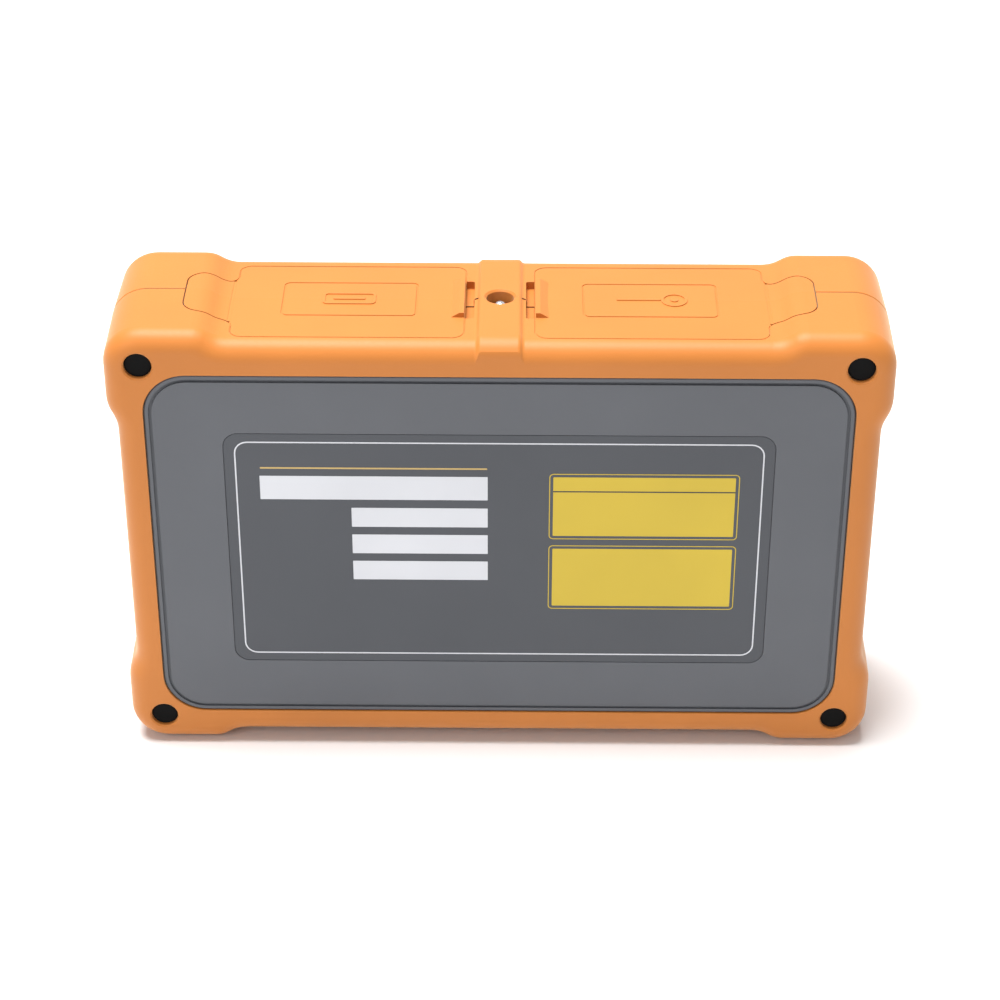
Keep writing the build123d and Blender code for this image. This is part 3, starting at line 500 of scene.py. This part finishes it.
def label_graphics():
    """The border, rule, blank boxes and blank yellow blocks that are printed on the rating label."""
    low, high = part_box("rating_label")
    middle_x, middle_z = (low.x + high.x) / 2, (low.z + high.z) / 2

    def layer(number):
        def place(x, z, top):
            y = low.y - INK_THICKNESS * (number - 1 + top)
            return middle_x + x, y, middle_z + z

        return place

    def frame_line(left, right, low_z, high_z, radius, width):
        inner = rounded(left + width, right - width, low_z + width, high_z - width, radius - width)
        return band(rounded(left, right, low_z, high_z, radius), inner, layer(1))

    half_x = (high.x - low.x) / 2 - BORDER_INSET_X
    half_z = (high.z - low.z) / 2 - BORDER_INSET_Z
    border = frame_line(-half_x, half_x, -half_z, half_z, BORDER_RADIUS, BORDER_LINE)
    piece("label_border", *border, "white_ink", "housing", "label_film")

    rule = rounded(
        RULE_LEFT, RULE_RIGHT, RULE_Z - RULE_LINE / 2, RULE_Z + RULE_LINE / 2, RULE_LINE / 3, 2
    )
    piece("label_rule", *plate(rule, layer(1)), "gold_ink", "housing", "label_film")

    boxes = [(WIDE_BOX_LEFT, WIDE_BOX_LOW, WIDE_BOX_HEIGHT)]
    boxes += [(NARROW_BOX_LEFT, z, NARROW_BOX_HEIGHT) for z in NARROW_BOX_LOWS]
    whites = [
        plate(rounded(left, BOX_RIGHT, z, z + tall, BOX_RADIUS, 2), layer(1)) for left, z, tall in boxes
    ]
    piece("label_boxes", *join(whites), "white_ink", "housing", "label_film")

    yellows, outlines = [], []
    for low_z, high_z in YELLOW_SPANS:
        block = rounded(YELLOW_LEFT, YELLOW_RIGHT, low_z, high_z, BLOCK_RADIUS, 2)
        yellows.append(plate(block, layer(1)))
        outlines.append(
            frame_line(
                YELLOW_LEFT - OUTLINE_GAP,
                YELLOW_RIGHT + OUTLINE_GAP,
                low_z - OUTLINE_GAP,
                high_z + OUTLINE_GAP,
                OUTLINE_RADIUS,
                OUTLINE_LINE,
            )
        )
    piece("label_blocks", *join(yellows), "yellow_ink", "housing", "label_film")
    piece("label_outlines", *join(outlines), "yellow_ink", "housing", "label_film")
    divider = rounded(
        YELLOW_LEFT, YELLOW_RIGHT, YELLOW_DIVIDER, YELLOW_DIVIDER + DIVIDER_LINE, DIVIDER_RADIUS, 2
    )
    piece("label_divider", *plate(divider, layer(2)), "dark_ink", "housing", "label_film")


def cover_top(y):
    """Height of the drafted top surface at a depth y."""
    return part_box("optical_well")[1].z + SEAT_TO_TOP - abs(y) * tan(radians(DRAFT))


def cover_seal(cover, name):
    """The soft lip that fills the gap round a flap."""
    low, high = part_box(cover)
    reach = SEAL_GAP - SEAL_CLEARANCE

    def outline(grow):
        return rounded(low.x - grow, high.x + grow, low.y - grow, high.y + grow, FLAP_RADIUS + grow, 10)

    def place(x, y, top):
        return x, y, cover_top(y) - SEAL_BELOW - (0 if top else SEAL_DEPTH)

    piece(name, *band(outline(reach), outline(-SEAL_OVERLAP), place), "orange_rubber", cover, "orange_rubber")


def hinge_web(cover, anchor, name):
    """The thin rubber between a flap and its tongue."""
    flap_low, flap_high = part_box(cover)
    tongue_low, tongue_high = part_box(anchor)
    if tongue_low.x > flap_high.x:
        start, end = flap_high.x, tongue_low.x
    else:
        start, end = flap_low.x, tongue_high.x
    overlap = WEB_OVERLAP if end > start else -WEB_OVERLAP
    first, last = start - overlap, end + overlap
    near, far = tongue_low.y, tongue_high.y
    depths = [near, near / 2, 0.0, far / 2, far]
    vertices, faces = [], []
    for step in range(WEB_STEPS + 1):
        x = first + (last - first) * step / WEB_STEPS
        section = [(x, y, cover_top(y) - WEB_BELOW) for y in depths]
        section += [(x, y, z - WEB_THICKNESS) for x, y, z in reversed(section)]
        vertices += section
    count = 2 * len(depths)
    for step in range(WEB_STEPS):
        for i in range(count):
            j = (i + 1) % count
            a, b = step * count, (step + 1) * count
            faces.append((a + i, a + j, b + j, b + i))
    faces.append(tuple(range(count)))
    faces.append(tuple(WEB_STEPS * count + i for i in range(count)))
    web = piece(name, vertices, faces, "orange_rubber", None, "orange_rubber")
    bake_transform(web)


def cover_pictogram(cover, name, shapes):
    """Raised lines of a pictogram in the middle of a flap's framed panel."""
    low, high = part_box(cover)
    middle_x = (low.x + high.x) / 2

    def place(x, y, top):
        return middle_x + x, y, cover_top(y) + (PICTOGRAM_RISE if top else -PICTOGRAM_ROOT)

    piece(name, *join([shape(place) for shape in shapes]), "orange_rubber", cover, "orange_rubber")


def port_pictogram(place):
    """A socket's outline."""
    outer = rounded(-PORT_HALF_X, PORT_HALF_X, -PORT_HALF_Y, PORT_HALF_Y, PORT_RADIUS)
    half_x, half_y = PORT_HALF_X - PICTOGRAM_LINE, PORT_HALF_Y - PICTOGRAM_LINE
    inner = rounded(-half_x, half_x, -half_y, half_y, PORT_RADIUS - PICTOGRAM_LINE)
    return band(outer, inner, place)


def tongue_pictogram(place):
    """The tongue inside the socket."""
    half_x, half_y = PORT_TONGUE_HALF_X, PORT_TONGUE_HALF_Y
    return plate(rounded(-half_x, half_x, -half_y, half_y, half_y / 2), place)


def fibre_pictogram(place):
    """A straight fibre."""
    half = PICTOGRAM_LINE / 2
    return plate(rounded(FIBRE_LEFT, FIBRE_RIGHT, -half, half, FIBRE_RADIUS), place)


def ring_pictogram(place):
    """The ring at the fibre's end."""
    outer = circle(RING_X, 0, RING_RADIUS)
    return band(outer, circle(RING_X, 0, RING_RADIUS - PICTOGRAM_LINE), place)


def core_pictogram(place):
    """The fibre's core, inside the ring."""
    return plate(circle(RING_X, 0, CORE_RADIUS), place)


def seam_painted_shade():
    """Painted shade along the joint: a dark line as thin bars over the outer edges of the rear half's end."""
    work = bmesh.new()
    work.from_mesh(frame["nodes"]["rear_shell"].data)
    bmesh.ops.remove_doubles(work, verts=work.verts, dist=SAME_PLACE)
    low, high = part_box("rear_shell")
    centre = Vector(((low.x + high.x) / 2, (low.z + high.z) / 2))

    def on_seam(face):
        return all(abs(vertex.co.y) < SAME_PLACE for vertex in face.verts)

    def place(x, z, top):
        return x, SEAM_HALF if top else -SEAM_HALF, z

    bars = []
    for edge in work.edges:
        ends = [face for face in edge.link_faces if on_seam(face)]
        if len(ends) != 1:
            continue
        a, b = (Vector((vertex.co.x, vertex.co.z)) for vertex in edge.verts)
        inside = ends[0].calc_center_median()
        outward = Vector((a.y - b.y, b.x - a.x)).normalized()
        if outward.dot(Vector((inside.x, inside.z)) - a) > 0:
            outward.negate()
        if outward.dot((a + b) / 2 - centre) > 0:
            proud, root = outward * SEAM_PROUD, outward * SEAM_ROOT
            bars.append(plate([tuple(p) for p in (a + proud, b + proud, b - root, a - root)], place))
    work.free()
    # The bars carry painted shade where the joint's groove lies
    piece("seam_painted_shade", *join(bars), "seam_shadow", "housing", "orange_shell")


def turned(profile, steps=32):
    """Vertices and faces of a profile of radii and heights, turned round Z and closed at its ends."""
    vertices = [(x, y, z) for radius, z in profile for x, y in circle(0, 0, radius, steps)]
    faces = [tuple(range(steps)), tuple(range(len(vertices) - steps, len(vertices)))]
    for first in range(0, len(vertices) - steps, steps):
        for i in range(steps):
            j = (i + 1) % steps
            faces.append((first + i, first + j, first + steps + j, first + steps + i))
    return vertices, faces


def torch_tip():
    """The lamp's silvery tip, which almost reaches the rib's crest."""
    tip_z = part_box("torch_led")[1].z + TIP_RISE
    centre_z = tip_z - TIP_RADIUS
    profile = [(TIP_RADIUS, tip_z - TIP_RISE - TIP_ROOT)]
    for step in range(TIP_STEPS):
        angle = radians(90 * step / TIP_STEPS)
        profile.append((TIP_RADIUS * cos(angle), centre_z + TIP_RADIUS * sin(angle)))
    piece("torch_tip", *turned(profile), "lamp_silver", "housing", "clear_plastic")


def key_mark(key, name, shapes):
    """A printed symbol on a key's face."""
    low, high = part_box(key)
    middle_x, middle_z = (low.x + high.x) / 2, (low.z + high.z) / 2

    def place(x, z, top):
        return middle_x + x, high.y + (KEY_INK if top else 0), middle_z + z

    piece(name, *join([shape(place) for shape in shapes]), "white_ink", key, "key_rubber")


def arrow(turn):
    """A triangle that points along +X, turned by an angle."""
    return lambda place: plate(
        [(ARROW_SIZE * cos(a), ARROW_SIZE * sin(a)) for a in map(radians, (turn, turn + 120, turn + 240))],
        place,
    )


def stroke(start, end):
    """A straight line of a key's symbol."""
    return lambda place: plate(line(start, end, KEY_LINE), place)


def ring(radius):
    """A whole ring."""
    return lambda place: band(circle(0, 0, radius), circle(0, 0, radius - KEY_LINE), place)


def arc(radius, first, last, steps=32):
    """A part of a ring, between two angles."""
    inside = radius - KEY_LINE
    angles = [radians(first + (last - first) * step / steps) for step in range(steps + 1)]
    outer = [(radius * cos(a), radius * sin(a)) for a in angles]
    inner = [(inside * cos(a), inside * sin(a)) for a in reversed(angles)]
    return lambda place: plate(outer + inner, place)


def zigzag(points):
    """A bent line of short strokes."""
    return [stroke(a, b) for a, b in zip(points, points[1:])]


def key_marks():
    """Plain symbols, seen from the front, where +X is the user's left."""
    for key, turn in (("left", 0), ("up", 90), ("right", 180), ("down", 270)):
        key_mark("key_" + key, "mark_" + key, [arrow(turn)])
    key_mark("key_enter", "mark_enter", [ring(ENTER_RADIUS)])
    open_ring = arc(POWER_RADIUS, 90 + POWER_OPENING, 450 - POWER_OPENING)
    key_mark("key_power", "mark_power", [open_ring, stroke((0, POWER_BAR_LOW), (0, POWER_BAR_HIGH))])
    key_mark("key_escape", "mark_escape", [arrow(0), stroke((-ESCAPE_TAIL, 0), (0, 0))])
    key_mark("key_live", "mark_live", zigzag(PULSE))
    key_mark("key_average", "mark_average", zigzag(SLOPE))


finish_cad_nodes()
label_graphics()
for cover, anchor in (("optical_cover", "optical_cover_anchor"), ("usb_cover", "usb_cover_anchor")):
    cover_seal(cover, cover + "_seal")
    hinge_web(cover, anchor, cover + "_web")
cover_pictogram("usb_cover", "usb_pictogram", [port_pictogram, tongue_pictogram])
cover_pictogram("optical_cover", "optical_pictogram", [fibre_pictogram, ring_pictogram, core_pictogram])
torch_tip()
seam_painted_shade()
key_marks()


def area_light(name, place, size, power):
    """A round soft light."""
    light = bpy.data.lights.new(name, "AREA")
    light.shape = "DISK"
    light.size = size
    light.energy = power
    made = bpy.data.objects.new(name, light)
    made.location = place
    made.rotation_mode = "QUATERNION"
    made.rotation_quaternion = (Vector(LIGHT_TARGET) - Vector(place)).to_track_quat("-Z", "Y")
    bpy.context.scene.collection.objects.link(made)


def studio():
    """A pale floor, soft lights and a white surround."""
    bpy.ops.mesh.primitive_plane_add(size=FLOOR_SIZE, location=(0, 0, 0))
    floor = bpy.context.object
    floor.name = "floor"
    material, tree, shader = new_material("floor")
    tree.links.new(
        blend_colours(tree, noise(tree, 0.3), (0.9, 0.9, 0.9, 1), (0.92, 0.92, 0.92, 1)),
        shader.inputs["Base Color"],
    )
    shader.inputs["Roughness"].default_value = 0.9
    floor.data.materials.append(material)

    for name, place, size, power in LIGHTS:
        area_light(name, place, size, power)

    world = bpy.data.worlds.new("surround")
    bpy.context.scene.world = world
    world.use_nodes = True
    tree = world.node_tree
    paths = tree.nodes.new("ShaderNodeLightPath")
    seen = paths.outputs["Is Camera Ray"]
    for kind in ("Is Glossy Ray", "Is Transmission Ray"):
        larger = tree.nodes.new("ShaderNodeMath")
        larger.operation = "MAXIMUM"
        tree.links.new(seen, larger.inputs[0])
        tree.links.new(paths.outputs[kind], larger.inputs[1])
        seen = larger.outputs[0]
    strength = tree.nodes.new("ShaderNodeMapRange")
    strength.inputs["To Min"].default_value = SURROUND_LIGHT
    strength.inputs["To Max"].default_value = SURROUND_SEEN
    tree.links.new(seen, strength.inputs["Value"])
    tree.links.new(strength.outputs["Result"], tree.nodes["Background"].inputs["Strength"])
    tree.nodes["Background"].inputs["Color"].default_value = (1, 1, 1, 1)


def camera():
    """The camera of the photograph."""
    data = bpy.data.cameras.new("camera")
    data.lens = CAMERA_LENS
    data.sensor_width = SENSOR_WIDTH
    data.clip_end = 100
    made = bpy.data.objects.new("camera", data)
    turn = (
        Matrix.Rotation(radians(CAMERA_YAW), 4, "Z")
        @ Matrix.Rotation(radians(90 - CAMERA_DOWN), 4, "X")
        @ Matrix.Rotation(radians(CAMERA_ROLL), 4, "Z")
    )
    made.matrix_world = Matrix.Translation(CAMERA_PLACE) @ turn
    bpy.context.scene.collection.objects.link(made)
    bpy.context.scene.camera = made


studio()
camera()
scene = bpy.context.scene
scene.view_settings.view_transform = "Standard"
